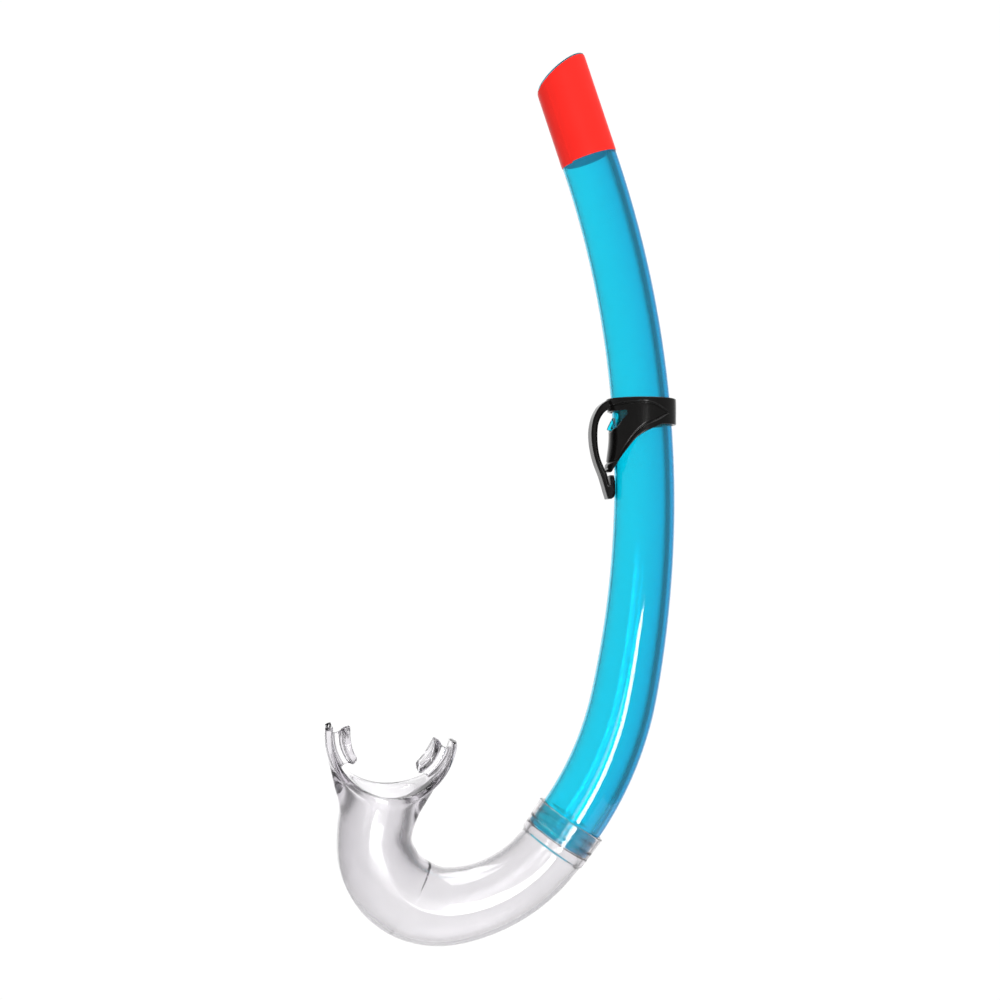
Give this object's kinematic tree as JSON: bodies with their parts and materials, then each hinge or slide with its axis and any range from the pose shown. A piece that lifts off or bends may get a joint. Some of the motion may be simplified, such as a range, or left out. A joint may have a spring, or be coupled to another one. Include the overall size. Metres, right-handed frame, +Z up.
{
  "type": "snorkel tube",
  "caption": "J-type snorkel: curved translucent barrel with slanted open top and hi-vis band, clear swivelling mouthpiece bend with bite lugs, and a clip-on strap keeper.",
  "frame": {"origin": "Centre of the bite: the middle of the mouth, between the two bite lugs, as the mouthpiece stands at rest.", "axes": "+Z runs up, the way the snorkel stands in use, from the bend to the open top. -Y faces the side the snorkel is seen from, and the barrel bends in a plane square to Y. +X runs from the mouth to the barrel."},
  "size_m": [0.1563, 0.0523, 0.4015],
  "materials": {
    "cyan_plastic": "translucent glossy",
    "hi_vis_orange": "glossy film",
    "clear_soft_plastic": "clear glossy",
    "black_plastic": "fine satin"
  },
  "bodies": {
    "barrel": {"barrel": "cyan_plastic", "hi_vis_band": "hi_vis_orange"},
    "mouthpiece": {"mouthpiece": "clear_soft_plastic"},
    "keeper": {"keeper_collar": "black_plastic"},
    "keeper_arm": {"keeper_arm": "black_plastic"}
  },
  "joints": [
    {"name": "mouthpiece_swivel", "type": "hinge", "parent": "barrel", "child": "mouthpiece", "pos_m": [0.08132, 0.02123, -0.03202], "axis": [0.5664, 0, 0.8241], "continuous": true},
    {"name": "keeper_swivel", "type": "hinge", "parent": "barrel", "child": "keeper", "pos_m": [0.11265, 0.02123, 0.15015], "axis": [-0.0263, 0.0088, 0.9996], "range_deg": [-28, 8]},
    {"name": "keeper_arm_flex", "type": "hinge", "parent": "keeper", "child": "keeper_arm", "pos_m": [0.09633, 0.01842, 0.15474], "axis": [-0.1731, 0.9848, -0.0132], "range_deg": [0, 10], "stiffness_Nm_per_rad": 0.6}
  ]
}
